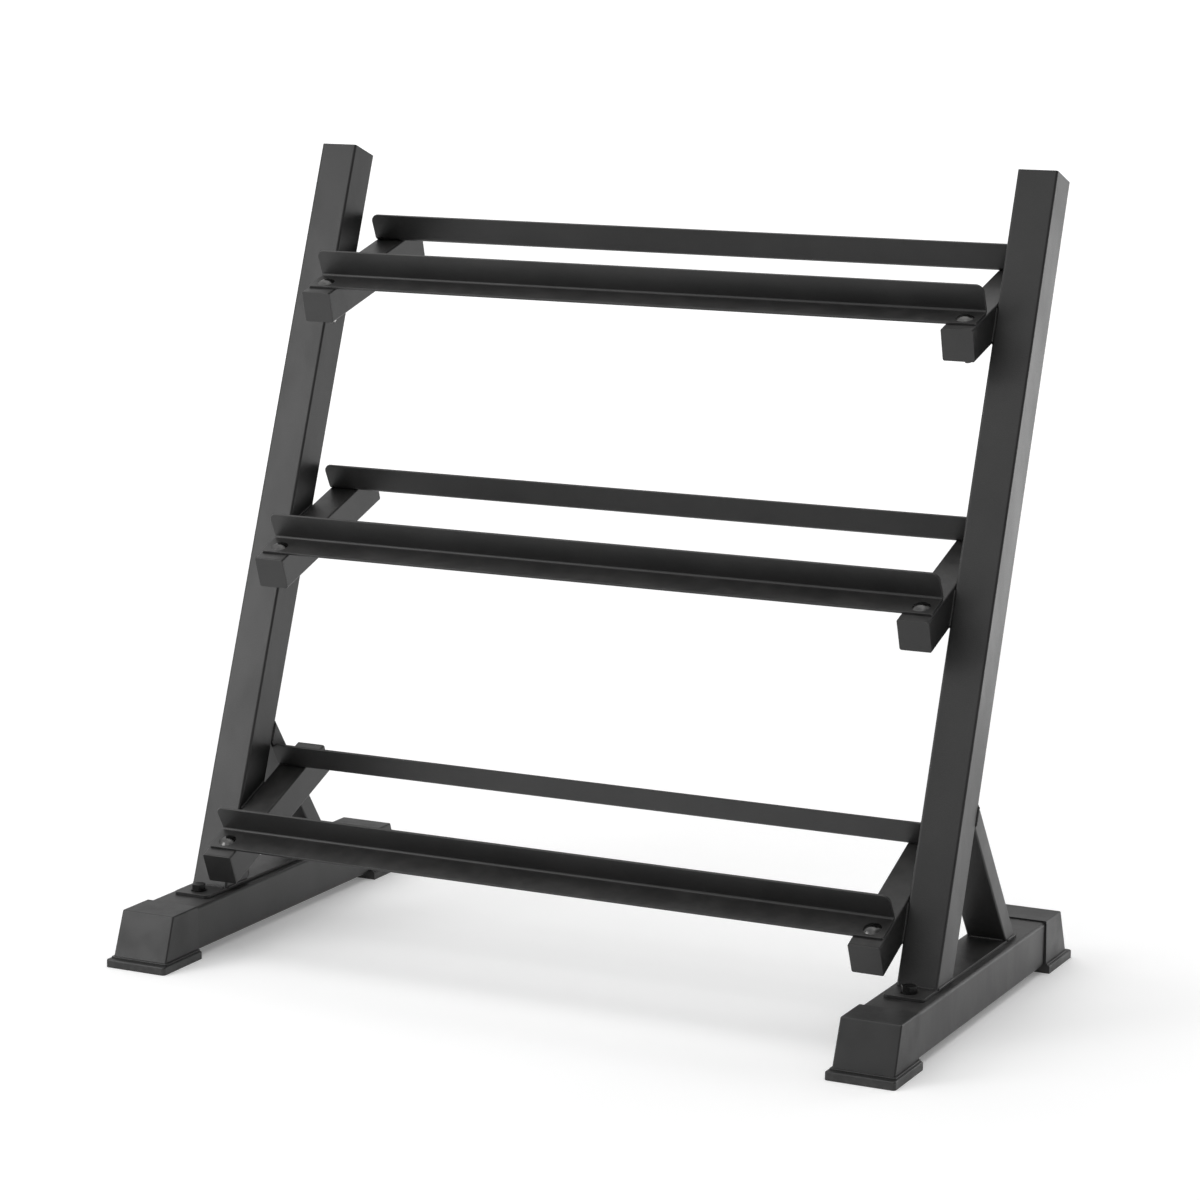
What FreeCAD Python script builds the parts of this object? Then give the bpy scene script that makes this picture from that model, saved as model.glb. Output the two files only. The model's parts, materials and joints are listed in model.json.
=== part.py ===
import FreeCAD, Part
import math
import os

# Three-tier dumbbell rack, millimetres. +X is the rack's right-hand side seen from the front, -Y is the
# front, +Z is up. The origin is on the floor, midway between the two sides and midway between the front
# of the feet and the rear ends of the top arms. The pieces are drawn about the middle of the base and
# moved to that origin at the end.

# Overall proportions
UPRIGHT_GAP = 903.0            # clear width between the inner faces of the two uprights
BASE_DEPTH = 600.0             # front to back, over the rims of the foot caps
UPRIGHT_LEAN = 20.0            # degrees that the uprights lean back
UPRIGHT_ABOVE_TOP_TIER = 179.0  # from the front of the top arm up to the top front edge of the upright

# Floor beam: rectangular tube, lying front to back
BEAM_WIDTH = 70.0
BEAM_HEIGHT = 55.0
BEAM_WALL = 2.5
BEAM_CORNER = 4.0

# Foot cap: moulded sleeve over each beam end, with a rim that stands on the floor
FOOT_SOLE = 9.0                # thickness under the beam
FOOT_WALL = 2.0
FOOT_LENGTH = 85.0
FOOT_FACE_LEAN = 20.0          # degrees that the end face slopes in towards the top
FOOT_DRAFT = 1.0               # how much wider each side is at the rim than at the top
FOOT_RIM_HEIGHT = 10.0
FOOT_RIM_SIDE = 4.5            # how far the rim stands out at each side
FOOT_RIM_END = 10.5            # how far the rim stands out at the end
FOOT_STEP_HEIGHT = 2.0         # low step between the rim and the body
FOOT_STEP_OUT = 2.0
FOOT_ROUND = 2.0

# Base plate: welded under upright and brace, bolted to the beam
PLATE_THICKNESS = 4.0
PLATE_CORNER = 6.0
PLATE_TO_FRONT_CAP = 42.0      # bare beam between the front cap and the plate
PLATE_TO_REAR_CAP = 72.0
PLATE_FRONT_MARGIN = 43.0      # plate in front of the upright
PLATE_REAR_MARGIN = 10.0       # plate behind the brace
BASE_BOLT_TO_UPRIGHT = 23.5    # from the foot of the upright to the bolts before and behind it

# Upright: square tube
UPRIGHT_SIDE = 50.0
UPRIGHT_WALL = 2.0
UPRIGHT_CORNER = 3.0
PLUG_HEAD = 4.0                # thickness of the plug's flat head inside the tube's mouth
PLUG_DEPTH = 18.0
PLUG_WALL = 2.5
PLUG_CROWN = 1.5               # rounded edge of the plug's head

# Brace: flat tube from the back of the plate up to the back of the upright
BRACE_DEPTH = 25.0
BRACE_WALL = 2.0
BRACE_CORNER = 2.5
BRACE_LEAN = 36.0              # degrees that it leans forward

# Arms: square tubes welded to the inner faces of the uprights, sloping down to the front
ARM_SIDE = 40.0
ARM_WALL = 2.0
ARM_CORNER = 2.5
ARM_LENGTH = 250.0             # over both end plates
ARM_OVERHANG = 74.0            # front of the arm ahead of the upright's front face, level
END_PLATE = 2.0
BOTTOM_TIER_HEIGHT = 124.0     # top front edge of the bottom arms above the floor
MIDDLE_TIER_RISE = 354.0
TOP_TIER_RISE = 325.0
BOTTOM_TIER_SLOPE = 23.0       # degrees
MIDDLE_TIER_SLOPE = 19.0
TOP_TIER_SLOPE = 15.5

# Rails: bent sheet angles that span the arms, the front one with its leg forward, the rear one with
# its leg backward
RAIL_END_GAP = 1.5             # from the end of a rail to the upright
RAIL_LEG = 40.0
RAIL_FLANGE = 38.0
RAIL_THICKNESS = 3.0
RAIL_BEND = 3.0                # inner bend radius
RAIL_FLANGE_LEAN = 9.0         # degrees that both flanges lean forward from square to the arms
RAIL_SETBACK = 15.0            # from the end of the arm to the edge of the leg
RAIL_CORNER = 10.0             # rounded upper corners of the flange
RAIL_LEG_CORNER = 3.0

# Rail fasteners: M8 mushroom-head bolts with a square neck, washers and lock nuts
RAIL_BOLT_EDGE = 15.0          # from the edge of the leg to the bolt
RAIL_BOLT_DIAMETER = 8.0
RAIL_BOLT_HOLE = 9.0
RAIL_BOLT_HEAD = 22.0
RAIL_BOLT_DOME = 4.4
RAIL_BOLT_NECK = 8.0
RAIL_BOLT_NECK_CLEARANCE = 0.2
RAIL_WASHER = 16.0
RAIL_WASHER_THICKNESS = 1.6
RAIL_NUT_ACROSS_FLATS = 13.0
RAIL_NUT_HEIGHT = 6.0
RAIL_NUT_COLLAR = 2.0
RAIL_NUT_COLLAR_DIAMETER = 11.0
BOLT_END = 2.5                 # thread that shows past the nut

# Base fasteners: M10 hexagon bolts with washers, screwed into nuts welded inside the beam
BASE_BOLT_DIAMETER = 10.0
BASE_BOLT_HOLE = 11.0
BASE_BOLT_LENGTH = 25.0
BASE_BOLT_ACROSS_FLATS = 16.0
BASE_BOLT_HEAD_HEIGHT = 6.4
BASE_WASHER = 20.0
BASE_WASHER_THICKNESS = 2.0
BASE_NUT_ACROSS_FLATS = 17.0
BASE_NUT_HEIGHT = 8.0
HEX_CHAMFER = 30.0             # degrees, on the corners of hexagon heads and nuts

X = FreeCAD.Vector(1, 0, 0)
Y = FreeCAD.Vector(0, 1, 0)
Z = FreeCAD.Vector(0, 0, 1)
ORIGIN = FreeCAD.Vector(0, 0, 0)
TOUCH = 0.01                   # two places closer than this are the same
ALONG = 0.9                    # cosine above which an edge counts as running along an axis

# Places that several pieces share
LEAN = math.radians(UPRIGHT_LEAN)
SIDE_X = UPRIGHT_GAP / 2 + UPRIGHT_SIDE / 2      # centre line of upright, brace, plate and beam
BEAM_TOP = FOOT_SOLE + BEAM_HEIGHT
PLATE_TOP = BEAM_TOP + PLATE_THICKNESS
CAP_INNER_Y = BASE_DEPTH / 2 - FOOT_LENGTH       # open ends of the caps are at -/+ this
PLATE_FRONT = -CAP_INNER_Y + PLATE_TO_FRONT_CAP
PLATE_REAR = CAP_INNER_Y - PLATE_TO_REAR_CAP
UPRIGHT_FRONT = PLATE_FRONT + PLATE_FRONT_MARGIN  # upright's front edge on the plate
UPRIGHT_FOOT = UPRIGHT_SIDE / math.cos(LEAN)      # depth of the upright where it is cut level
BASE_BOLT_Y = (
    UPRIGHT_FRONT - BASE_BOLT_TO_UPRIGHT,
    UPRIGHT_FRONT + UPRIGHT_FOOT + BASE_BOLT_TO_UPRIGHT,
)
ARM_X = UPRIGHT_GAP / 2 - ARM_SIDE / 2            # centre line of the arms
RAIL_LENGTH = UPRIGHT_GAP - 2 * RAIL_END_GAP
FRONT_BOLT_S = RAIL_SETBACK + RAIL_BOLT_EDGE      # along the arm
REAR_BOLT_S = ARM_LENGTH - FRONT_BOLT_S
TIERS = (
    ("bottom", BOTTOM_TIER_HEIGHT, BOTTOM_TIER_SLOPE),
    ("middle", BOTTOM_TIER_HEIGHT + MIDDLE_TIER_RISE, MIDDLE_TIER_SLOPE),
    ("top", BOTTOM_TIER_HEIGHT + MIDDLE_TIER_RISE + TOP_TIER_RISE, TOP_TIER_SLOPE),
)
OVERALL_HEIGHT = TIERS[-1][1] + UPRIGHT_ABOVE_TOP_TIER


def vec(x, y, z):
    return FreeCAD.Vector(x, y, z)


def front_line(z):
    """Y of the upright's front face at height z."""
    return UPRIGHT_FRONT + (z - PLATE_TOP) * math.tan(LEAN)


def box(x0, x1, y0, y1, z0, z1):
    return Part.makeBox(x1 - x0, y1 - y0, z1 - z0, vec(x0, y0, z0))


def mirrored(shape):
    """The same piece on the left-hand side."""
    return shape.mirror(ORIGIN, X)


def rounded_bar(width, depth, length, corner):
    """Bar along +Z from z=0, centred on the Z axis, with its four long edges rounded."""
    bar = box(-width / 2, width / 2, -depth / 2, depth / 2, 0, length)
    long_edges = [e for e in bar.Edges if abs(e.tangentAt(e.FirstParameter).z) > ALONG]
    return bar.makeFillet(corner, long_edges)


def inner_corner(corner, wall):
    return corner - wall / 2


def tube(width, depth, length, wall, corner):
    """Hollow section along +Z, centred on the Z axis."""
    outer = rounded_bar(width, depth, length, corner)
    inner = rounded_bar(width - 2 * wall, depth - 2 * wall, length, inner_corner(corner, wall))
    return outer.cut(inner)


def drill(diameter, depth, at):
    """Tool for a hole down from a face through a wall of the given depth, past both its faces."""
    past = depth / 4
    return Part.makeCylinder(diameter / 2, depth + 2 * past, at - Z * (depth + past))


def hexagon(across_flats, height):
    """Hexagonal prism along +Z from z=0, with its top corners chamfered."""
    radius = across_flats / math.sqrt(3)
    corners = [vec(radius * math.cos(math.radians(a)), radius * math.sin(math.radians(a)), 0)
               for a in range(0, 361, 60)]
    prism = Part.Face(Part.makePolygon(corners)).extrude(Z * height)
    chamfer = radius - across_flats / 2
    rise = chamfer * math.tan(math.radians(HEX_CHAMFER))
    turned = Part.makeCylinder(radius, height - rise).fuse(
        Part.makeCone(radius, across_flats / 2, rise, vec(0, 0, height - rise), Z))
    return prism.common(turned.removeSplitter())


def group(shapes):
    return Part.makeCompound(shapes)


# Lower frame

def floor_beam():
    """Rectangular tube, with a hole in its top wall for each base bolt."""
    length = 2 * beam_end_y()
    beam = tube(BEAM_WIDTH, BEAM_HEIGHT, length, BEAM_WALL, BEAM_CORNER)
    beam.rotate(ORIGIN, X, -90)
    beam.translate(vec(SIDE_X, -length / 2, FOOT_SOLE + BEAM_HEIGHT / 2))
    for y in BASE_BOLT_Y:
        beam = beam.cut(drill(BASE_BOLT_HOLE, BEAM_WALL, vec(SIDE_X, y, BEAM_TOP)))
    return beam


def beam_end_y():
    """The beam stops just behind the top of the cap's sloping face."""
    return foot_top_y() - FOOT_WALL


def foot_body_y():
    """Where the cap's end face meets the rim."""
    return BASE_DEPTH / 2 - FOOT_RIM_END


def foot_top_y():
    rise = BEAM_TOP + FOOT_WALL - FOOT_RIM_HEIGHT
    return foot_body_y() - rise * math.tan(math.radians(FOOT_FACE_LEAN))


def foot_body():
    """Sleeve body at the rear end: tapered block with a sloping end face."""
    top = BEAM_TOP + FOOT_WALL
    half_top = BEAM_WIDTH / 2 + FOOT_WALL
    half_low = half_top + FOOT_DRAFT
    slope = math.tan(math.radians(FOOT_FACE_LEAN))
    low_y = foot_body_y() + FOOT_RIM_HEIGHT * slope
    low = [vec(-half_low, CAP_INNER_Y, 0), vec(half_low, CAP_INNER_Y, 0),
           vec(half_low, low_y, 0), vec(-half_low, low_y, 0)]
    high = [vec(-half_top, CAP_INNER_Y, top), vec(half_top, CAP_INNER_Y, top),
            vec(half_top, foot_top_y(), top), vec(-half_top, foot_top_y(), top)]
    loft = Part.makeLoft([Part.makePolygon(p + p[:1]) for p in (low, high)], True, True)
    outside = [e for e in loft.Edges
               if e.BoundBox.ZMax > FOOT_RIM_HEIGHT and e.CenterOfMass.y > CAP_INNER_Y + TOUCH]
    return loft.makeFillet(FOOT_ROUND, outside)


def foot_plinth(out_side, out_end, height, rounding):
    """Rounded slab under the body, open end flush with the sleeve."""
    half = BEAM_WIDTH / 2 + FOOT_WALL + FOOT_DRAFT + out_side
    slab = box(-half, half, CAP_INNER_Y, foot_body_y() + out_end, 0, height)
    upright_edges = [e for e in slab.Edges
                     if e.BoundBox.ZLength > height / 2 and e.CenterOfMass.y > CAP_INNER_Y + TOUCH]
    slab = slab.makeFillet(2 * rounding, upright_edges)
    top_edges = [e for e in slab.Edges
                 if e.BoundBox.ZMin > height - TOUCH and e.CenterOfMass.y > CAP_INNER_Y + TOUCH]
    return slab.makeFillet(rounding, top_edges)


def foot_cap():
    """Rear right cap: rim, step and sleeve in one moulding, hollow where the beam enters."""
    rim = foot_plinth(FOOT_RIM_SIDE, FOOT_RIM_END, FOOT_RIM_HEIGHT, FOOT_ROUND)
    step = foot_plinth(FOOT_STEP_OUT, FOOT_STEP_OUT, FOOT_RIM_HEIGHT + FOOT_STEP_HEIGHT,
                       FOOT_STEP_HEIGHT / 2)
    cap = rim.fuse([step, foot_body()]).removeSplitter()
    pocket = rounded_bar(BEAM_WIDTH, BEAM_HEIGHT, beam_end_y(), BEAM_CORNER)
    pocket.rotate(ORIGIN, X, -90)
    pocket.translate(vec(0, 0, FOOT_SOLE + BEAM_HEIGHT / 2))
    return cap.cut(pocket).translated(vec(SIDE_X, 0, 0))


def base_plate():
    plate = box(SIDE_X - UPRIGHT_SIDE / 2, SIDE_X + UPRIGHT_SIDE / 2, PLATE_FRONT, PLATE_REAR,
                BEAM_TOP, PLATE_TOP)
    corners = [e for e in plate.Edges if e.BoundBox.ZLength > PLATE_THICKNESS / 2]
    plate = plate.makeFillet(PLATE_CORNER, corners)
    for y in BASE_BOLT_Y:
        plate = plate.cut(drill(BASE_BOLT_HOLE, PLATE_THICKNESS, vec(SIDE_X, y, PLATE_TOP)))
    return plate


# Leaning frame

def upright_length():
    return (OVERALL_HEIGHT - PLATE_TOP) / math.cos(LEAN)


def along_upright(shape):
    """Moves a piece made along +Z, front face at y=0, onto the leaning upright."""
    shape.rotate(ORIGIN, X, -UPRIGHT_LEAN)
    shape.translate(vec(SIDE_X, UPRIGHT_FRONT, PLATE_TOP))
    return shape


def above_plate():
    """Everything above the top face of the base plate."""
    reach = 2 * OVERALL_HEIGHT
    return box(-reach, reach, -reach, reach, PLATE_TOP, reach)


def upright():
    """Square tube cut level at the foot and square at the top."""
    below = UPRIGHT_SIDE * math.tan(LEAN)
    post = tube(UPRIGHT_SIDE, UPRIGHT_SIDE, upright_length() + below, UPRIGHT_WALL, UPRIGHT_CORNER)
    post.translate(vec(0, UPRIGHT_SIDE / 2, -below))
    return along_upright(post).common(above_plate())


def upright_plug():
    """Moulded plug in the mouth of the upright: crowned head and hollow skirt."""
    side = UPRIGHT_SIDE - 2 * UPRIGHT_WALL
    corner = inner_corner(UPRIGHT_CORNER, UPRIGHT_WALL)
    plug = rounded_bar(side, side, PLUG_DEPTH, corner)
    top_edges = [e for e in plug.Edges if e.BoundBox.ZMin > PLUG_DEPTH - TOUCH]
    plug = plug.makeFillet(PLUG_CROWN, top_edges)
    hollow = rounded_bar(side - 2 * PLUG_WALL, side - 2 * PLUG_WALL, PLUG_DEPTH - PLUG_HEAD, corner)
    plug = plug.cut(hollow)
    plug.translate(vec(0, UPRIGHT_SIDE / 2, upright_length() - PLUG_DEPTH))
    return along_upright(plug)


def brace():
    """Flat tube, cut level on the plate and to the upright's rear face at its top."""
    lean = math.radians(BRACE_LEAN)
    foot_rear = PLATE_REAR - PLATE_REAR_MARGIN
    foot_front = foot_rear - BRACE_DEPTH / math.cos(lean)
    rear_at_plate = UPRIGHT_FRONT + UPRIGHT_FOOT
    rise = (foot_rear - rear_at_plate) / (math.tan(LEAN) + math.tan(lean))
    length = (rise + BRACE_DEPTH) / math.cos(lean)
    below = BRACE_DEPTH * math.tan(lean)
    strut = tube(UPRIGHT_SIDE, BRACE_DEPTH, length + below, BRACE_WALL, BRACE_CORNER)
    strut.translate(vec(0, BRACE_DEPTH / 2, -below))
    strut.rotate(ORIGIN, X, BRACE_LEAN)
    strut.translate(vec(SIDE_X, foot_front, PLATE_TOP))
    post = box(-UPRIGHT_SIDE, UPRIGHT_SIDE, -BASE_DEPTH, UPRIGHT_SIDE,
               -upright_length(), upright_length())
    return strut.common(above_plate()).cut(along_upright(post))


# Tiers

def on_arm(shape, height, slope):
    """Moves a piece from the arm's frame to its tier. In the arm's frame y=0 is the front end, z=0 is
    the top face and +Y runs back along the arm."""
    placed = shape.copy()
    placed.rotate(ORIGIN, X, slope)
    placed.translate(vec(0, front_line(height) - ARM_OVERHANG, height))
    return placed


def arm_section(length, start):
    bar = tube(ARM_SIDE, ARM_SIDE, length, ARM_WALL, ARM_CORNER)
    bar.rotate(ORIGIN, X, -90)
    bar.translate(vec(ARM_X, start, -ARM_SIDE / 2))
    return bar


def arm():
    """Right arm between its two end plates, drilled through for the rail bolts."""
    bar = arm_section(ARM_LENGTH - 2 * END_PLATE, END_PLATE)
    for s in (FRONT_BOLT_S, REAR_BOLT_S):
        bar = bar.cut(drill(RAIL_BOLT_HOLE, ARM_SIDE, vec(ARM_X, s, 0)))
    return bar


def end_plate(start):
    plate = rounded_bar(ARM_SIDE, ARM_SIDE, END_PLATE, ARM_CORNER)
    plate.rotate(ORIGIN, X, -90)
    plate.translate(vec(ARM_X, start, -ARM_SIDE / 2))
    return plate


def rail_profile(lean):
    """Front rail's section in the YZ plane: leg forward from the bend, flange rising at its back and
    leaning forward over the leg."""
    turn = math.radians(lean)
    outer = RAIL_BEND + RAIL_THICKNESS
    middle = vec(0, RAIL_SETBACK + RAIL_LEG - outer, outer)
    below = -Z
    behind = vec(0, math.cos(turn), math.sin(turn))
    halfway = (below + behind).normalize()
    rise = vec(0, -math.sin(turn), math.cos(turn)) * (RAIL_FLANGE - outer)
    leg_bottom = vec(0, RAIL_SETBACK, 0)
    leg_top = leg_bottom + Z * RAIL_THICKNESS
    flange_back = middle + behind * outer
    flange_face = middle + behind * RAIL_BEND
    edges = [
        Part.makeLine(leg_bottom, middle + below * outer),
        Part.Arc(middle + below * outer, middle + halfway * outer, flange_back).toShape(),
        Part.makeLine(flange_back, flange_back + rise),
        Part.makeLine(flange_back + rise, flange_face + rise),
        Part.makeLine(flange_face + rise, flange_face),
        Part.Arc(flange_face, middle + halfway * RAIL_BEND, middle + below * RAIL_BEND).toShape(),
        Part.makeLine(middle + below * RAIL_BEND, leg_top),
        Part.makeLine(leg_top, leg_bottom),
    ]
    return Part.Face(Part.Wire(edges))


def front_rail(lean=RAIL_FLANGE_LEAN):
    """Bent angle with rounded flange corners and a square hole at each end for the bolt's neck."""
    rail = rail_profile(lean).extrude(X * RAIL_LENGTH)
    rail.translate(vec(-RAIL_LENGTH / 2, 0, 0))
    end_edges = [e for e in rail.Edges if e.BoundBox.XLength < TOUCH]
    flange_corners = [e for e in end_edges if e.BoundBox.ZMin > RAIL_FLANGE - 2 * RAIL_THICKNESS]
    rail = rail.makeFillet(RAIL_CORNER, flange_corners)
    leg_corners = [e for e in rail.Edges
                   if e.BoundBox.YMax < RAIL_SETBACK + TOUCH and e.BoundBox.XLength < TOUCH]
    rail = rail.makeFillet(RAIL_LEG_CORNER, leg_corners)
    half = RAIL_BOLT_NECK / 2 + RAIL_BOLT_NECK_CLEARANCE
    for x in (-ARM_X, ARM_X):
        rail = rail.cut(box(x - half, x + half, FRONT_BOLT_S - half, FRONT_BOLT_S + half,
                            -RAIL_THICKNESS, 2 * RAIL_THICKNESS))
    return rail


def rear_rail():
    """The front rail's mirror image about the middle of the arms, bent less than square, so that its
    flange leans forward too."""
    return front_rail(-RAIL_FLANGE_LEAN).mirror(vec(0, ARM_LENGTH / 2, 0), Y)


def rail_bolt():
    """Mushroom head above the leg, square neck in the leg, shank down through the arm."""
    head_radius = RAIL_BOLT_HEAD / 2
    dome = (head_radius ** 2 + RAIL_BOLT_DOME ** 2) / (2 * RAIL_BOLT_DOME)
    head = Part.makeSphere(dome, vec(0, 0, RAIL_THICKNESS + RAIL_BOLT_DOME - dome))
    head = head.common(Part.makeCylinder(head_radius, RAIL_BOLT_DOME, vec(0, 0, RAIL_THICKNESS)))
    half = RAIL_BOLT_NECK / 2
    neck = box(-half, half, -half, half, 0, RAIL_THICKNESS)
    reach = ARM_SIDE + RAIL_WASHER_THICKNESS + RAIL_NUT_HEIGHT + RAIL_NUT_COLLAR + BOLT_END
    shank = Part.makeCylinder(RAIL_BOLT_DIAMETER / 2, reach, vec(0, 0, -reach))
    return head.fuse([neck, shank]).removeSplitter()


def washer(outer, hole, thickness):
    return Part.makeCylinder(outer / 2, thickness).cut(Part.makeCylinder(hole / 2, thickness))


def rail_washer():
    disc = washer(RAIL_WASHER, RAIL_BOLT_HOLE, RAIL_WASHER_THICKNESS)
    disc.translate(vec(0, 0, -ARM_SIDE - RAIL_WASHER_THICKNESS))
    return disc


def rail_nut():
    """Hexagon lock nut with its round collar, facing down."""
    body = hexagon(RAIL_NUT_ACROSS_FLATS, RAIL_NUT_HEIGHT)
    collar = Part.makeCylinder(RAIL_NUT_COLLAR_DIAMETER / 2, RAIL_NUT_HEIGHT + RAIL_NUT_COLLAR)
    nut = body.fuse(collar).removeSplitter()
    nut = nut.cut(Part.makeCylinder(RAIL_BOLT_DIAMETER / 2, 2 * RAIL_NUT_HEIGHT))
    nut.rotate(ORIGIN, X, 180)
    nut.translate(vec(0, 0, -ARM_SIDE - RAIL_WASHER_THICKNESS))
    return nut


def at_rail_bolts(piece):
    """One copy of a fastener at each of a tier's four rail bolts, in the arm's frame."""
    return group([piece.translated(vec(x, s, 0))
                  for x in (-ARM_X, ARM_X) for s in (FRONT_BOLT_S, REAR_BOLT_S)])


# Base fasteners

def base_bolt():
    head = hexagon(BASE_BOLT_ACROSS_FLATS, BASE_BOLT_HEAD_HEIGHT)
    head.translate(vec(0, 0, BASE_WASHER_THICKNESS))
    low = BASE_WASHER_THICKNESS - BASE_BOLT_LENGTH
    shank = Part.makeCylinder(BASE_BOLT_DIAMETER / 2, BASE_BOLT_LENGTH, vec(0, 0, low))
    return head.fuse(shank).removeSplitter()


def base_nut():
    """Nut welded under the top wall of the beam."""
    nut = hexagon(BASE_NUT_ACROSS_FLATS, BASE_NUT_HEIGHT)
    nut = nut.cut(Part.makeCylinder(BASE_BOLT_DIAMETER / 2, 2 * BASE_NUT_HEIGHT))
    nut.rotate(ORIGIN, X, 180)
    nut.translate(vec(0, 0, -PLATE_THICKNESS - BEAM_WALL))
    return nut


def at_base_bolts(piece):
    return group([piece.translated(vec(x, y, PLATE_TOP))
                  for x in (-SIDE_X, SIDE_X) for y in BASE_BOLT_Y])


# Assembly

def side_nodes():
    """Pieces that come in a right-hand and a left-hand copy."""
    rear_cap = foot_cap()
    pieces = {
        "floor_beam": floor_beam(),
        "rear_foot_cap": rear_cap,
        "front_foot_cap": rear_cap.mirror(ORIGIN, Y),
        "base_plate": base_plate(),
        "upright": upright(),
        "upright_plug": upright_plug(),
        "brace": brace(),
    }
    for tier, height, slope in TIERS:
        pieces[tier + "_arm"] = on_arm(arm(), height, slope)
        pieces[tier + "_arm_front_plate"] = on_arm(end_plate(0), height, slope)
        pieces[tier + "_arm_rear_plate"] = on_arm(end_plate(ARM_LENGTH - END_PLATE), height, slope)
    nodes = {"right_" + name: shape for name, shape in pieces.items()}
    nodes.update({"left_" + name: mirrored(shape) for name, shape in pieces.items()})
    return nodes


def tier_nodes():
    pieces = {
        "front_rail": front_rail(),
        "rear_rail": rear_rail(),
        "rail_bolts": at_rail_bolts(rail_bolt()),
        "rail_washers": at_rail_bolts(rail_washer()),
        "rail_nuts": at_rail_bolts(rail_nut()),
    }
    return {tier + "_" + name: on_arm(shape, height, slope)
            for tier, height, slope in TIERS for name, shape in pieces.items()}


def base_fastener_nodes():
    return {
        "base_bolts": at_base_bolts(base_bolt()),
        "base_washers": at_base_bolts(washer(BASE_WASHER, BASE_BOLT_HOLE, BASE_WASHER_THICKNESS)),
        "base_nuts": at_base_bolts(base_nut()),
    }


def rear_reach():
    """Y of the rearmost point: the base, or the lower rear corner of the top arms."""
    height, slope = TIERS[-1][1], math.radians(TIERS[-1][2])
    arm_rear = front_line(height) - ARM_OVERHANG + ARM_LENGTH * math.cos(slope)
    return max(BASE_DEPTH / 2, arm_rear + ARM_SIDE * math.sin(slope))


def main():
    os.makedirs("parts", exist_ok=True)
    to_origin = Y * ((BASE_DEPTH / 2 - rear_reach()) / 2)
    nodes = {**side_nodes(), **tier_nodes(), **base_fastener_nodes()}
    for name, shape in nodes.items():
        shape.translated(to_origin).exportStep("parts/" + name + ".step")


main()
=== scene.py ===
import json
import math

import bmesh
import bpy
from mathutils import Matrix, Vector


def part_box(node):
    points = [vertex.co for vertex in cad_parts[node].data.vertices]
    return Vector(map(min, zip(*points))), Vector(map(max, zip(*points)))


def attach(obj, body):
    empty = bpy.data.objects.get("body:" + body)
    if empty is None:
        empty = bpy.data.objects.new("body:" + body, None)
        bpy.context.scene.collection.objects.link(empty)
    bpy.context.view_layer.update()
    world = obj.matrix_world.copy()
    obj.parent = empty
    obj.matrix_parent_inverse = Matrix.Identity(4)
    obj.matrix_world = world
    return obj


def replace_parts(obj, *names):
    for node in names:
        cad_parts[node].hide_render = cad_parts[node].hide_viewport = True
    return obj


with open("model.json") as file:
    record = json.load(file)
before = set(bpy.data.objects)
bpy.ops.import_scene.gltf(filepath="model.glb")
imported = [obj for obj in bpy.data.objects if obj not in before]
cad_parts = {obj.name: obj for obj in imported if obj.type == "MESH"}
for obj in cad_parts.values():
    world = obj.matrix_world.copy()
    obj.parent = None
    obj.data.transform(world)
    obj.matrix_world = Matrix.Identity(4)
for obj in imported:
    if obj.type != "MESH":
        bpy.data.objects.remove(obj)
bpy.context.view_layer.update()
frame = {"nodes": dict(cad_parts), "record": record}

NODES = frame["nodes"]
SLOTS = {entry["node"]: entry["material_slot"] for entry in frame["record"]["subparts"]}
SIDES = ("left", "right")
TIERS = ("bottom", "middle", "top")
ENDS = ("front", "rear")

# Camera, in the row frame
CAMERA_AT = (1.87575, -3.82806, 1.23706)
CAMERA_AZIMUTH = 26.088        # degrees from straight in front towards the right-hand side
CAMERA_ELEVATION = 10.403      # degrees that it looks down
CAMERA_ROLL = 0.510
CAMERA_LENS = 106.81           # millimetres, like the sensor
SENSOR = 36.0
CAMERA_REACH = 600.0

# Lamps: name, place, point aimed at, width and height, watts
LAMPS = (
    ("front_left_softbox", (-2.1, -2.2, 1.45), (-0.45, 0.0, 0.55), (1.3, 2.3), 30.0),
    ("overhead_softbox", (0.2, 0.6, 4.2), (0.0, 0.2, 0.0), (4.5, 3.5), 20.0),
    ("right_side_softbox", (1.15, 1.25, 0.50), (0.50, 0.0, 0.40), (0.5, 0.9), 3.3),
)

# Studio walls, as strengths of the world light
WALL_FRONT = 0.30
WALL_BACK = 0.36
CEILING = 0.86
SKIRTING = 0.93                # narrow bright band where the walls meet the floor
RIGHT_DIMMING = 0.25           # share of the walls and ceiling left on the right-hand side

# Where they begin and end, as X, Y or Z of the direction looked in
WALL_SPAN = (-0.45, 0.45)
CEILING_SPAN = (0.22, 0.70)
SKIRTING_SPAN = (0.02, 0.08)
RIGHT_SPAN = (0.05, 0.55)

# Studio floor: it glows a little, more so away from the rack
FLOOR_SIZE = 400.0
FLOOR_GLOW = 0.18
FLOOR_FAR_GLOW = 0.42
FLOOR_GLOW_SPAN = (0.7, 6.0)   # metres from the origin between which the glow grows

# Rounding that the coating leaves on the edges of sheet pieces
SOFT_EDGE = 0.0006
SOFT_SEGMENTS = 3
SHARP_ANGLE = math.radians(40)     # edges that turn more than this are rounded
FLAT_ANGLE = math.radians(0.5)     # faces that turn less than this are joined first
SAME_POINT = 1e-6                  # points nearer than this are one

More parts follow.
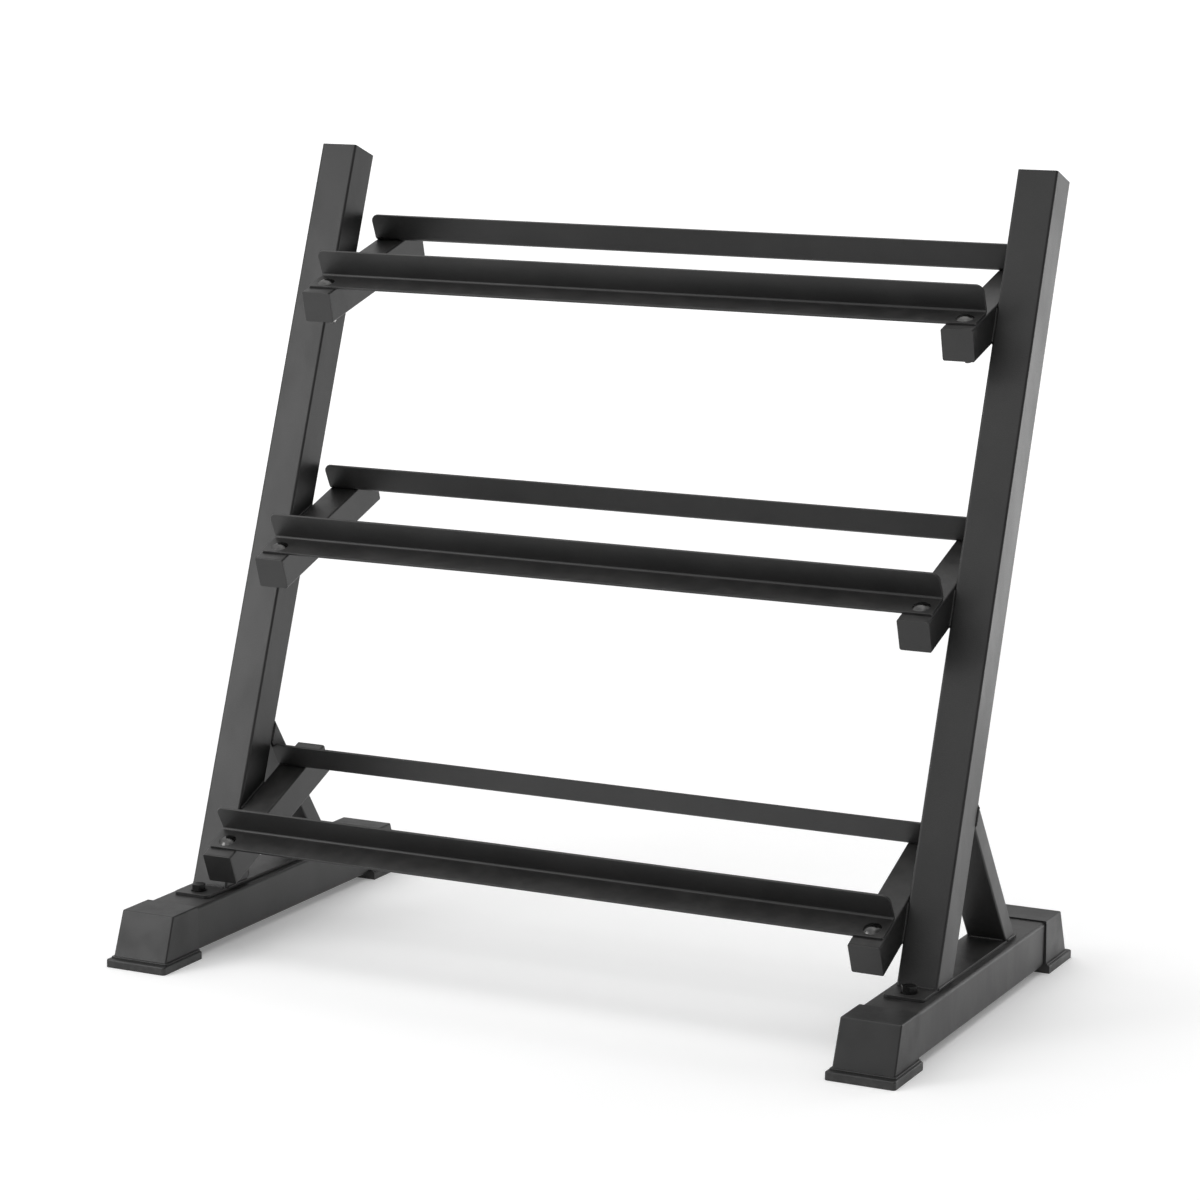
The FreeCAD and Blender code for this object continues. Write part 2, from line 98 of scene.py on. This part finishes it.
# Weld beads
BEAD_RADIUS = 0.0018
BEAD_WAIST = 0.86              # share of the radius between two ripples
BEAD_SWELL = 0.16              # what a ripple adds to that share
BEAD_TIP = 0.05                # share of the radius at the very ends
BEAD_PITCH = 0.0026            # from ripple to ripple
BEAD_RINGS_PER_RIPPLE = 5
BEAD_LEAST_RINGS = 8
BEAD_SIDES = 12
BEAD_WANDER = 0.00018          # how far a bead strays from its line, in two waves
SLOW_WAVE = 9.1                # radians over the bead's length
FAST_WAVE = 31.0
FAST_SHARE = 0.6               # height of the fast wave against the slow one
SLOW_SHIFT = 5.0               # how far a change of phase moves the slow wave
BEAD_PHASE = 0.37              # shift of the ripples from one bead to the next
ARM_BEAD_GAP = 0.004           # from the corner of a joint to the end of a bead
FOOT_BEAD_GAP = 0.003
ON_FACE = 0.0003               # points nearer than this to a face are on it
AT_END = 0.0005                # points nearer than this to the end of an upright are its rim

# Materials: the stretch that holds most values of a cloudy pattern, and those where edges and tops begin
CLOUDS = (0.3, 0.7)
EDGE_SPAN = (0.02, 0.30)       # one less the cosine between the true and the rounded normal
TOP_SPAN = (0.4, 1.0)          # Z of the normal


# ---------------------------------------------------------------- node trees

class NodeTree:
    """Short way to write a node tree. A value given as a socket is linked, any other is set."""

    def __init__(self, tree):
        self.tree = tree

    def new(self, kind, **settings):
        node = self.tree.nodes.new(kind)
        for name, value in settings.items():
            setattr(node, name, value)
        return node

    def put(self, socket, value):
        if isinstance(value, bpy.types.NodeSocket):
            self.tree.links.new(value, socket)
        else:
            socket.default_value = value

    def put_all(self, node, values):
        for key, value in values.items():
            self.put(node.inputs[key], value)

    def math(self, operation, a, b=0.0):
        node = self.new("ShaderNodeMath", operation=operation)
        self.put_all(node, {0: a, 1: b})
        return node.outputs[0]

    def vector_math(self, operation, *vectors):
        """Single number that comes out of one or two vectors."""
        node = self.new("ShaderNodeVectorMath", operation=operation)
        self.put_all(node, dict(enumerate(vectors)))
        return node.outputs["Value"]

    def axis(self, vector, name):
        """X, Y or Z of a vector."""
        node = self.new("ShaderNodeSeparateXYZ")
        self.put(node.inputs[0], vector)
        return node.outputs[name]

    def span(self, value, stretch, low=0.0, high=1.0):
        """Smooth change from low to high while the value goes from one end of a stretch to the other."""
        node = self.new("ShaderNodeMapRange", interpolation_type="SMOOTHSTEP")
        self.put_all(node, {"Value": value, "From Min": stretch[0], "From Max": stretch[1],
                            "To Min": low, "To Max": high})
        return node.outputs["Result"]


class Material(NodeTree):
    """Principled material whose patterns are laid out in metres of the row frame."""

    COLOUR_A, COLOUR_B, COLOUR_OUT = 6, 7, 2       # the mix node's colour sockets
    BEVEL_SAMPLES = 6

    def __init__(self, name):
        self.material = bpy.data.materials.new(name)
        self.material.use_nodes = True
        super().__init__(self.material.node_tree)
        self.tree.nodes.clear()
        output = self.new("ShaderNodeOutputMaterial")
        self.shader = self.new("ShaderNodeBsdfPrincipled")
        self.put(output.inputs["Surface"], self.shader.outputs["BSDF"])
        self.place = self.new("ShaderNodeTexCoord").outputs["Object"]

    def finish(self, values):
        self.put_all(self.shader, values)
        return self.material

    def noise(self, scale, detail, roughness=0.5, stretch=None):
        """Cloudy pattern, stretched by three scales along the axes if they are given."""
        place = self.place
        if stretch:
            mapping = self.new("ShaderNodeMapping")
            self.put_all(mapping, {"Vector": self.place, "Scale": stretch})
            place = mapping.outputs["Vector"]
        node = self.new("ShaderNodeTexNoise")
        self.put_all(node, {"Vector": place, "Scale": scale, "Detail": detail, "Roughness": roughness})
        return node.outputs["Fac"]

    def spots(self, scale):
        node = self.new("ShaderNodeTexVoronoi")
        self.put_all(node, {"Vector": self.place, "Scale": scale})
        return node.outputs["Distance"]

    def mix(self, factor, a, b):
        node = self.new("ShaderNodeMix", data_type="RGBA")
        self.put_all(node, {"Factor": factor, self.COLOUR_A: a, self.COLOUR_B: b})
        return node.outputs[self.COLOUR_OUT]

    def normal(self):
        return self.new("ShaderNodeNewGeometry").outputs["Normal"]

    def edges(self, radius):
        """1 on edges that are sharper than the radius, 0 on flat surface."""
        bevel = self.new("ShaderNodeBevel", samples=self.BEVEL_SAMPLES)
        self.put(bevel.inputs["Radius"], radius)
        alike = self.vector_math("DOT_PRODUCT", bevel.outputs["Normal"], self.normal())
        return self.span(self.math("SUBTRACT", 1.0, alike), EDGE_SPAN)

    def height(self):
        """Distance above the floor, metres."""
        return self.axis(self.place, "Z")

    def facing_up(self):
        return self.span(self.axis(self.normal(), "Z"), TOP_SPAN)

    def bump(self, height, distance, strength, under=None):
        """Relief of the given distance in metres, on top of another relief if one is given."""
        node = self.new("ShaderNodeBump")
        self.put_all(node, {"Strength": strength, "Distance": distance, "Height": height})
        if under is not None:
            self.put(node.inputs["Normal"], under)
        return node.outputs["Normal"]


# ---------------------------------------------------------------- materials

def grey(value, warmth=0.0):
    return (value * (1 + warmth), value, value * (1 - warmth), 1.0)


BRIGHT_SPECK = grey(0.045)
WORN_BLACK = grey(0.055)
ROOM_DUST = grey(0.07, 0.03)
FLOOR_DIRT = grey(0.06, 0.04)
DIRT_HEIGHT = 0.022            # floor dirt fades out at this height
DUST_ROUGHNESS = 0.3           # what full dust adds to the roughness


def powder_coat(name):
    """Satin black powder coat: orange peel, faint mottling, dust on top and paler worn edges."""
    m = Material(name)

    mottling = m.span(m.noise(7.0, detail=5.0, roughness=0.6), CLOUDS)
    colour = m.mix(mottling, grey(0.0105), grey(0.0165, 0.01))
    specks = m.span(m.noise(1400.0, detail=1.0), (0.62, 0.80), high=0.30)
    colour = m.mix(specks, colour, BRIGHT_SPECK)

    patches = m.span(m.noise(38.0, detail=6.0, roughness=0.7), (0.35, 0.75), low=0.10, high=0.40)
    dust = m.math("MULTIPLY", m.facing_up(), patches)
    colour = m.mix(dust, colour, ROOM_DUST)

    broken = m.span(m.noise(160.0, detail=4.0, roughness=0.7), (0.42, 0.62), low=0.15, high=0.75)
    wear = m.math("MULTIPLY", m.edges(radius=0.0012), broken)
    colour = m.mix(wear, colour, WORN_BLACK)

    smears = m.noise(1.0, detail=4.0, roughness=0.65, stretch=(16.0, 16.0, 5.0))
    roughness = m.span(smears, (0.32, 0.70), low=0.36, high=0.43)
    roughness = m.math("ADD", roughness, m.math("MULTIPLY", dust, DUST_ROUGHNESS))

    peel = m.bump(m.noise(620.0, detail=2.0, roughness=0.45), distance=0.00022, strength=0.55)
    pits = m.span(m.spots(1900.0), (0.0, 0.35))
    normal = m.bump(pits, distance=0.00004, strength=0.35, under=peel)
    return m.finish({"Base Color": colour, "Roughness": roughness, "Normal": normal,
                     "Specular IOR Level": 0.50})


def moulded_plastic(name, dark=0.0115, light=0.0175):
    """Fine-grained black moulding with scuffs on its edges and floor dust low down."""
    m = Material(name)

    clouds = m.span(m.noise(14.0, detail=4.0), CLOUDS)
    colour = m.mix(clouds, grey(dark), grey(light))
    broken = m.span(m.noise(210.0, detail=5.0, roughness=0.75), (0.45, 0.62), low=0.1, high=0.9)
    scuffs = m.math("MULTIPLY", m.edges(radius=0.0016), broken)
    colour = m.mix(scuffs, colour, WORN_BLACK)

    near_floor = m.span(m.height(), (0.0, DIRT_HEIGHT), low=0.35, high=0.0)
    patches = m.span(m.noise(90.0, detail=6.0, roughness=0.7), (0.4, 0.7))
    dirt = m.math("MULTIPLY", near_floor, patches)
    colour = m.mix(dirt, colour, FLOOR_DIRT)

    leather = m.bump(m.span(m.spots(900.0), (0.05, 0.5)), distance=0.00007, strength=0.5)
    grain = m.noise(2300.0, detail=3.0, roughness=0.6)
    normal = m.bump(grain, distance=0.00005, strength=0.6, under=leather)
    roughness = m.span(m.noise(26.0, detail=4.0), CLOUDS, low=0.36, high=0.48)
    return m.finish({"Base Color": colour, "Roughness": roughness, "Normal": normal,
                     "Specular IOR Level": 0.48})


BRIGHT_EDGE = 1.8              # how much lighter than its flat surface a fastener's edges are


def plated_steel(name, dark, light, rough_low, rough_high, metallic=1.0):
    """Turned or pressed steel fastener under a thin finish, with fine scratches."""
    m = Material(name)

    clouds = m.span(m.noise(120.0, detail=4.0, roughness=0.6), CLOUDS)
    colour = m.mix(clouds, grey(dark), grey(light, 0.015))
    wear = m.span(m.edges(radius=0.0007), (0.2, 1.0), high=0.55)
    colour = m.mix(wear, colour, grey(min(1.0, light * BRIGHT_EDGE)))

    scratches = m.noise(1.0, detail=3.0, roughness=0.7, stretch=(700.0, 4200.0, 900.0))
    roughness = m.span(scratches, CLOUDS, rough_low, rough_high)
    normal = m.bump(scratches, distance=0.00002, strength=0.35)
    return m.finish({"Base Color": colour, "Roughness": roughness, "Normal": normal,
                     "Metallic": metallic})


def studio_floor(name):
    m = Material(name)
    colour = m.mix(m.noise(3.0, detail=2.0), grey(0.90), grey(0.915))
    away = m.vector_math("LENGTH", m.place)
    glow = m.span(away, FLOOR_GLOW_SPAN, FLOOR_GLOW, FLOOR_FAR_GLOW)
    return m.finish({"Base Color": colour, "Roughness": 0.9, "Specular IOR Level": 0.1,
                     "Emission Color": grey(1.0), "Emission Strength": glow})


MATERIALS = {
    "frame_coat": powder_coat("satin_black_powder_coat"),
    "foot_plastic": moulded_plastic("black_foot_moulding"),
    "plug_plastic": moulded_plastic("black_plug_moulding", 0.010, 0.015),
    "rail_bolt_steel": plated_steel("black_nickel_steel", 0.065, 0.10, 0.12, 0.22),
    "base_bolt_steel": plated_steel("black_oxide_steel", 0.010, 0.018, 0.28, 0.42, metallic=0.7),
    "nut_steel": plated_steel("zinc_plated_steel", 0.42, 0.55, 0.26, 0.42),
}


def paint(piece, slot):
    piece.data.materials.clear()
    piece.data.materials.append(MATERIALS[slot])


def paint_cad():
    for node, slot in SLOTS.items():
        paint(NODES[node], slot)


# ---------------------------------------------------------------- new pieces

def link(name, data):
    thing = bpy.data.objects.new(name, data)
    bpy.context.scene.collection.objects.link(thing)
    return thing


def add_piece(name, mesh, slot):
    piece = link(name, mesh)
    paint(piece, slot)
    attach(piece, "root")
    return piece


def smooth_mesh(name, bm):
    """Mesh with smooth shading from a bmesh, which is freed."""
    mesh = bpy.data.meshes.new(name)
    bm.to_mesh(mesh)
    bm.free()
    for polygon in mesh.polygons:
        polygon.use_smooth = True
    return mesh


def soften(node):
    """Replace a sheet piece with a copy that has the small rounding of its coated edges."""
    bm = bmesh.new()
    bm.from_mesh(NODES[node].data)
    bmesh.ops.remove_doubles(bm, verts=bm.verts, dist=SAME_POINT)
    bmesh.ops.dissolve_limit(bm, angle_limit=FLAT_ANGLE, verts=bm.verts, edges=bm.edges)
    sharp = [e for e in bm.edges if len(e.link_faces) == 2 and e.calc_face_angle() > SHARP_ANGLE]
    bevel = bmesh.ops.bevel(bm, geom=sharp, offset=SOFT_EDGE, offset_type="OFFSET",
                            segments=SOFT_SEGMENTS, profile=0.5, affect="EDGES", clamp_overlap=True)
    rounded = set(bevel["faces"])
    normals = []
    for vert in bm.verts:
        flat = [f for f in vert.link_faces if f not in rounded] or vert.link_faces
        normals.append(sum((f.normal * f.calc_area() for f in flat), Vector()).normalized())
    mesh = smooth_mesh(f"{node}_soft_edged", bm)
    mesh.normals_split_custom_set_from_vertices(normals)
    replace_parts(add_piece(f"{node}_soft_edged", mesh, SLOTS[node]), node)


def soften_sheet_pieces():
    for tier in TIERS:
        for end in ENDS:
            soften(f"{tier}_{end}_rail")
    for side in SIDES:
        soften(f"{side}_base_plate")
    for side in SIDES:
        for tier in TIERS:
            for end in ENDS:
                soften(f"{side}_{tier}_arm_{end}_plate")


# ---------------------------------------------------------------- weld beads

def bead_radius(distance, length, phase):
    """Radius at a distance along a bead: rippled, and closing in a dome at both ends."""
    ripple = (distance / BEAD_PITCH + phase) % 1.0
    to_end = min(distance, length - distance)
    inside_tip = max(0.0, 1.0 - to_end / BEAD_RADIUS)
    dome = math.sqrt(max(0.0, 1.0 - inside_tip ** 2))
    return BEAD_RADIUS * (BEAD_WAIST + BEAD_SWELL * math.sin(math.pi * ripple)) * max(dome, BEAD_TIP)


def bead(bm, start, end, out, phase):
    """Weld bead from start to end, half sunk in the corner, bulging towards out."""
    run = end - start
    along = run.normalized()
    out = (out - along * out.dot(along)).normalized()
    across = along.cross(out)
    rings = max(BEAD_LEAST_RINGS, int(run.length / BEAD_PITCH * BEAD_RINGS_PER_RIPPLE))
    previous = None
    for i in range(rings + 1):
        t = i / rings
        distance = t * run.length
        radius = bead_radius(distance, run.length, phase)
        slow = math.sin(SLOW_WAVE * t + SLOW_SHIFT * phase)
        fast = math.sin(FAST_WAVE * t + phase)
        wander = BEAD_WANDER * slow + BEAD_WANDER * FAST_SHARE * fast
        centre = start + along * distance + across * wander
        ring = []
        for k in range(BEAD_SIDES):
            angle = 2 * math.pi * k / BEAD_SIDES
            rim = out * (radius * math.cos(angle)) + across * (radius * math.sin(angle))
            ring.append(bm.verts.new(centre + rim))
        if previous:
            for k in range(BEAD_SIDES):
                j = (k + 1) % BEAD_SIDES
                bm.faces.new((previous[k], previous[j], ring[j], ring[k]))
        else:
            bm.faces.new(list(reversed(ring)))
        previous = ring
    bm.faces.new(previous)


def add_beads(name, lines):
    """One piece with a bead for each line, given as its start, its end and the way it bulges."""
    bm = bmesh.new()
    for i, (start, end, out) in enumerate(lines):
        bead(bm, Vector(start), Vector(end), Vector(out), BEAD_PHASE * i)
    bmesh.ops.recalc_face_normals(bm, faces=bm.faces)
    add_piece(name, smooth_mesh(name, bm), "frame_coat")


def corners(node):
    return [v.co.copy() for v in NODES[node].data.vertices]


def middle(points):
    return sum(points, Vector()) / len(points)


def extent(points, direction):
    """Least and greatest distance of the points along a direction."""
    values = [p.dot(direction) for p in points]
    return min(values), max(values)


def meet(point, direction, other, other_direction):
    """Point where two lines in the YZ plane cross, at the first point's x."""
    det = direction.y * -other_direction.z + other_direction.y * direction.z
    dy, dz = other.y - point.y, other.z - point.z
    t = (dy * -other_direction.z + other_direction.y * dz) / det
    return point + direction * t


def upright_lean():
    """Up along the uprights, square to it from front to rear, and a point low on the front face."""
    points = corners("left_upright")
    foot, top = extent(points, Vector((0.0, 0.0, 1.0)))
    front_foot = min((p for p in points if p.z < foot + AT_END), key=lambda p: p.y)
    front_top = min((p for p in points if p.z > top - AT_END), key=lambda p: p.y)
    up = front_top - front_foot
    up.x = 0.0
    up.normalize()
    return up, Vector((0.0, up.z, -up.y)), front_foot


def arm_axis(side, tier):
    """Middle of an arm's front end plate, and the way along the arm to its rear one."""
    front = middle(corners(f"{side}_{tier}_arm_front_plate"))
    direction = middle(corners(f"{side}_{tier}_arm_rear_plate")) - front
    direction.x = 0.0
    return front, direction.normalized()


def arm_welds(side, tier, up, back, front_foot, depth):
    """Beads round the place where an arm crosses the inner face of its upright."""
    centre, along = arm_axis(side, tier)
    normal = Vector((0.0, -along.z, along.y))
    low, high = extent(corners(f"{side}_{tier}_arm"), normal)
    outward = Vector((-1.0 if side == "left" else 1.0, 0.0, 0.0))
    inner_x = min(abs(p.x) for p in corners(f"{side}_upright"))
    front_line = Vector((0.0, front_foot.y, front_foot.z))
    rear_line = front_line + back * depth
    lines = []
    crossing = []
    for level, out in ((high, normal), (low, -normal)):
        on_edge = centre - normal * (centre.dot(normal) - level)
        on_edge.x = outward.x * inner_x
        a = meet(on_edge, along, front_line, up)
        b = meet(on_edge, along, rear_line, up)
        crossing.append((a, b))
        lines.append((a + along * ARM_BEAD_GAP, b - along * ARM_BEAD_GAP, out - outward))
    (top_front, top_rear), (low_front, low_rear) = crossing
    for top, low_point, out in ((top_front, low_front, -back), (top_rear, low_rear, back)):
        way = (top - low_point).normalized()
        lines.append((low_point + way * ARM_BEAD_GAP, top - way * ARM_BEAD_GAP, out + outward))
    add_beads(f"{side}_{tier}_arm_welds", lines)


def foot_welds(side, piece):
    """Beads round the foot of an upright or a brace on the base plate."""
    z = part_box(f"{side}_base_plate")[1].z
    foot = [p for p in corners(f"{side}_{piece}") if p.z < z + ON_FACE]
    x0, x1 = extent(foot, Vector((1.0, 0.0, 0.0)))
    y0, y1 = extent(foot, Vector((0.0, 1.0, 0.0)))
    gap = FOOT_BEAD_GAP
    add_beads(f"{side}_{piece}_foot_welds", [
        ((x0 + gap, y0, z), (x1 - gap, y0, z), (0, -1, 1)),
        ((x0 + gap, y1, z), (x1 - gap, y1, z), (0, 1, 1)),
        ((x0, y0 + gap, z), (x0, y1 - gap, z), (-1, 0, 1)),
        ((x1, y0 + gap, z), (x1, y1 - gap, z), (1, 0, 1)),
    ])


def brace_head_welds(side, back):
    """Beads round the head of the brace on the rear face of the upright."""
    rear = extent(corners(f"{side}_upright"), back)[1]
    head = [p for p in corners(f"{side}_brace") if p.dot(back) < rear + ON_FACE]
    x0, x1 = extent(head, Vector((1.0, 0.0, 0.0)))
    top = max(head, key=lambda p: p.z)
    low = min(head, key=lambda p: p.z)
    gap = FOOT_BEAD_GAP
    way = Vector((0.0, top.y - low.y, top.z - low.z)).normalized()
    lines = [
        ((x0 + gap, top.y, top.z), (x1 - gap, top.y, top.z), back + way),
        ((x0 + gap, low.y, low.z), (x1 - gap, low.y, low.z), back - way),
    ]
    for x, out in ((x0, -1.0), (x1, 1.0)):
        start = Vector((x, low.y, low.z)) + way * gap
        end = Vector((x, top.y, top.z)) - way * gap
        lines.append((start, end, back + Vector((out, 0.0, 0.0))))
    add_beads(f"{side}_brace_head_welds", lines)


def add_welds():
    up, back, front_foot = upright_lean()
    low, high = extent(corners("left_upright"), back)
    for side in SIDES:
        for tier in TIERS:
            arm_welds(side, tier, up, back, front_foot, high - low)
        foot_welds(side, "upright")
        foot_welds(side, "brace")
        brace_head_welds(side, back)


# ---------------------------------------------------------------- studio

def add_floor():
    mesh = bpy.data.meshes.new("studio_floor")
    h = FLOOR_SIZE / 2
    mesh.from_pydata([(-h, -h, 0), (h, -h, 0), (h, h, 0), (-h, h, 0)], [], [(0, 1, 2, 3)])
    mesh.materials.append(studio_floor("studio_floor"))
    link("studio_floor", mesh)


def add_lamp(name, at, aim, size, watts):
    data = bpy.data.lights.new(name, "AREA")
    data.shape = "RECTANGLE"
    data.size, data.size_y = size
    data.energy = watts
    lamp = link(name, data)
    lamp.location = at
    lamp.rotation_euler = (Vector(aim) - Vector(at)).to_track_quat("-Z", "Y").to_euler()


def add_world():
    """White studio walls, dimmer in front and on the right, and brighter towards the ceiling."""
    world = bpy.data.worlds.new("studio")
    bpy.context.scene.world = world
    world.use_nodes = True
    w = NodeTree(world.node_tree)
    background = w.tree.nodes["Background"]
    way = w.new("ShaderNodeTexCoord").outputs["Generated"]
    across, ahead, up = (w.axis(way, name) for name in "XYZ")
    walls = w.span(ahead, WALL_SPAN, WALL_FRONT, WALL_BACK)
    ceiling = w.span(up, CEILING_SPAN, 0.0, CEILING)
    skirting = w.span(w.math("ABSOLUTE", up), SKIRTING_SPAN, SKIRTING, 0.0)
    dimming = w.span(across, RIGHT_SPAN, 1.0, RIGHT_DIMMING)
    room = w.math("MULTIPLY", w.math("ADD", walls, ceiling), dimming)
    w.put_all(background, {"Color": grey(1.0), "Strength": w.math("ADD", room, skirting)})


def add_camera():
    azimuth, elevation = math.radians(CAMERA_AZIMUTH), math.radians(CAMERA_ELEVATION)
    forward = Vector((-math.sin(azimuth) * math.cos(elevation),
                      math.cos(azimuth) * math.cos(elevation), -math.sin(elevation)))
    right = Vector((math.cos(azimuth), math.sin(azimuth), 0.0))
    up = right.cross(forward)
    roll = math.radians(CAMERA_ROLL)
    rolled_right = right * math.cos(roll) + up * math.sin(roll)
    rolled_up = up * math.cos(roll) - right * math.sin(roll)
    data = bpy.data.cameras.new("camera")
    data.sensor_width = SENSOR
    data.lens = CAMERA_LENS
    data.clip_end = CAMERA_REACH
    camera = link("camera", data)
    turn = Matrix((rolled_right, rolled_up, -forward)).transposed().to_4x4()
    camera.matrix_world = Matrix.Translation(CAMERA_AT) @ turn
    bpy.context.scene.camera = camera


paint_cad()
soften_sheet_pieces()
add_welds()
add_floor()
add_world()
for lamp in LAMPS:
    add_lamp(*lamp)
add_camera()
bpy.context.scene.view_settings.view_transform = "Standard"
